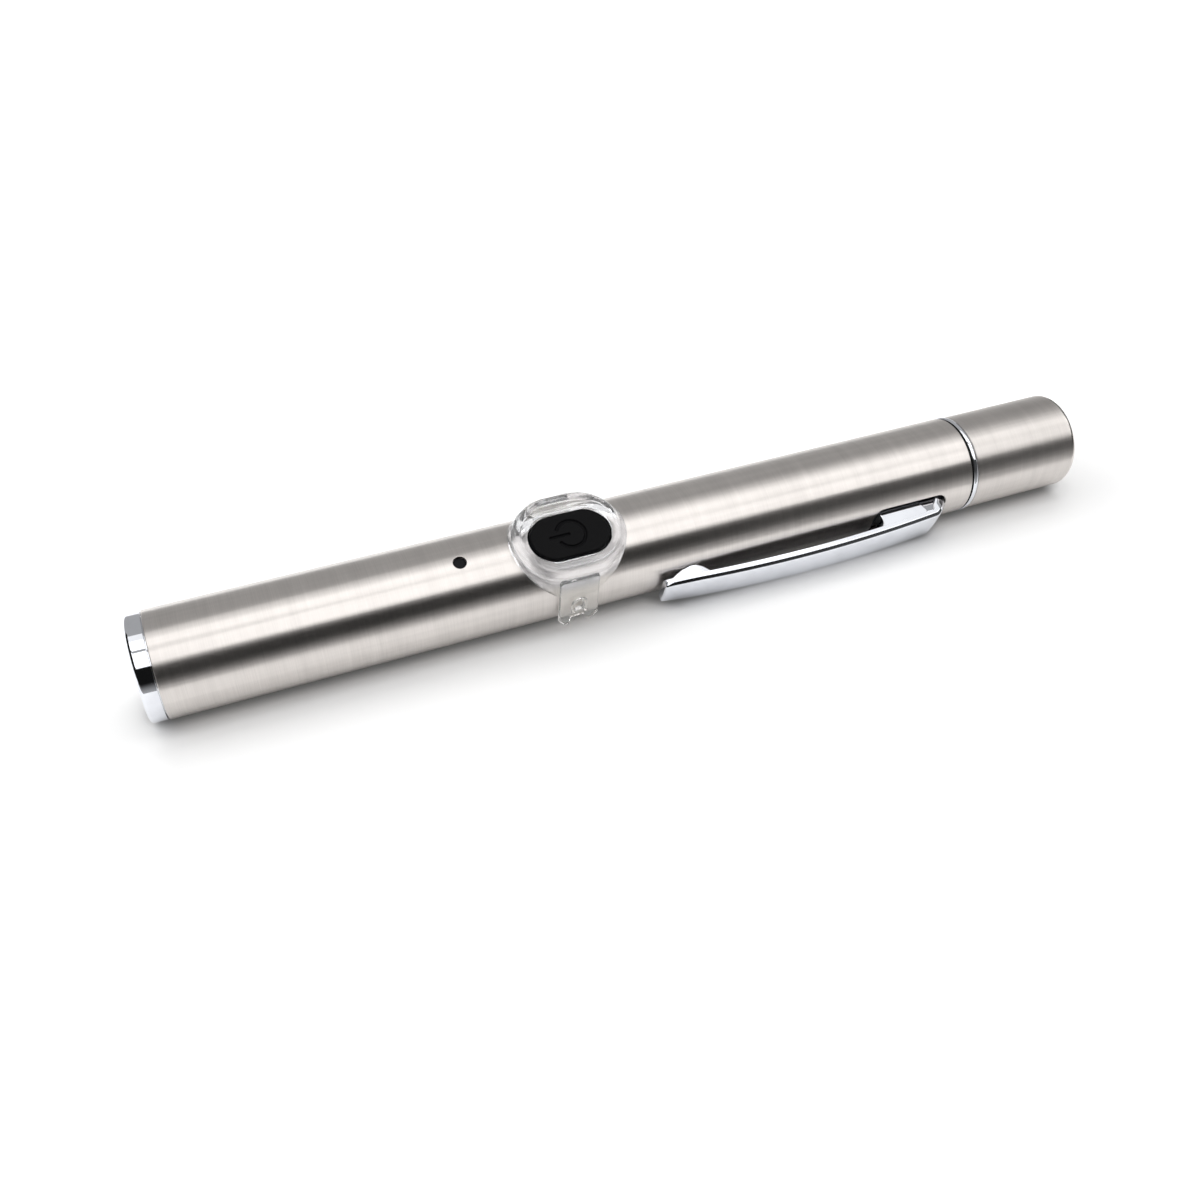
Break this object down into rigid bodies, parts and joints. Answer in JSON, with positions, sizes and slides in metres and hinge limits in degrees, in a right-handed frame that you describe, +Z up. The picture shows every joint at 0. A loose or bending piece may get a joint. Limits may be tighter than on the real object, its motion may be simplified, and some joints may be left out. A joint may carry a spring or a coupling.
{
  "type": "penlight",
  "caption": "Slim rechargeable penlight with a brushed steel barrel, an oval rubber button in a clear guard, a chromed pocket clip and a pull-off cap over its charging plug.",
  "frame": {"origin": "on the pen axis, where the lamp ring meets the front of the barrel", "axes": "+X along the pen from the lamp end to the cap; +Z up from the surface that the pen lies on; -Y towards the viewer, on the side of the pocket clip"},
  "size_m": [0.1351, 0.0179, 0.0168],
  "materials": {
    "barrel_steel": "fine circular brushing",
    "chrome": "polished",
    "clear_plastic": "clear moulded plastic",
    "lens_clear": "clear",
    "lamp_dome": "clear yellow",
    "black_rubber": "matt",
    "black_plastic": "fine texture",
    "light_pipe_dark": "smoked clear",
    "white_plastic": "smooth",
    "reflector_silver": "metallised",
    "lamp_yellow": "smooth",
    "board_green": "solder mask",
    "board_white": "solder mask",
    "chip_black": "smooth",
    "holder_aluminium": "turned",
    "anchor_steel": "plain",
    "cell_steel": "plain",
    "wrap_blue": "shrunk sleeve",
    "paper": "pressed paper",
    "nickel": "plain strip",
    "wire_red": "jacket",
    "wire_black": "jacket",
    "plug_steel": "plated",
    "gold": "plated",
    "plunger_red": "smooth"
  },
  "bodies": {
    "barrel": {"barrel_tube": "barrel_steel", "head_ring": "chrome", "lens": "lens_clear", "lens_gasket": "black_rubber", "reflector": "reflector_silver", "led_package": "lamp_yellow", "led_dome": "lamp_dome", "led_board": "board_white", "led_holder": "holder_aluminium", "chassis": "white_plastic", "control_board": "board_green", "board_chips": "chip_black", "indicator_led": "white_plastic", "light_pipe": "light_pipe_dark", "switch_body": "chip_black", "clip_anchor": "anchor_steel", "battery_cell": "cell_steel", "battery_wrap": "wrap_blue", "battery_insulators": "paper", "battery_tabs": "nickel", "wires_red": "wire_red", "wires_black": "wire_black", "charge_board": "board_green", "charge_chips": "chip_black", "plug_holder": "black_plastic", "collar_ring": "chrome", "usb_shell": "plug_steel", "usb_tongue": "white_plastic", "usb_contacts": "gold"},
    "button": {"button_cap": "black_rubber"},
    "plunger": {"switch_plunger": "plunger_red"},
    "guard": {"button_guard": "clear_plastic"},
    "clip": {"pocket_clip": "chrome"},
    "cap": {"cap_shell": "barrel_steel", "cap_liner": "black_plastic"}
  },
  "joints": [
    {"name": "button_press", "type": "slide", "parent": "barrel", "child": "button", "axis": [0, 0.4854, -0.8743], "range_m": [0, 0.00035], "stiffness_N_per_m": 3000, "springref_m": -0.0002},
    {"name": "plunger_press", "type": "slide", "parent": "barrel", "child": "plunger", "axis": [0, 0.4854, -0.8743], "range_m": [0, 0.00035]},
    {"name": "guard_lift", "type": "slide", "parent": "barrel", "child": "guard", "axis": [0, -0.4854, 0.8743], "range_m": [0, 0.014]},
    {"name": "clip_flex", "type": "hinge", "parent": "barrel", "child": "clip", "pos_m": [0.1106, -0.00459, -0.00255], "axis": [0, -0.4854, 0.8743], "range_deg": [0, 4], "stiffness_Nm_per_rad": 4, "springref_deg": -1.15},
    {"name": "cap_pull", "type": "slide", "parent": "barrel", "child": "cap", "axis": [1, 0, 0], "range_m": [0, 0.018]}
  ],
  "couplings": [
    {"joint": "plunger_press", "follows": "button_press", "ratio": 1}
  ]
}
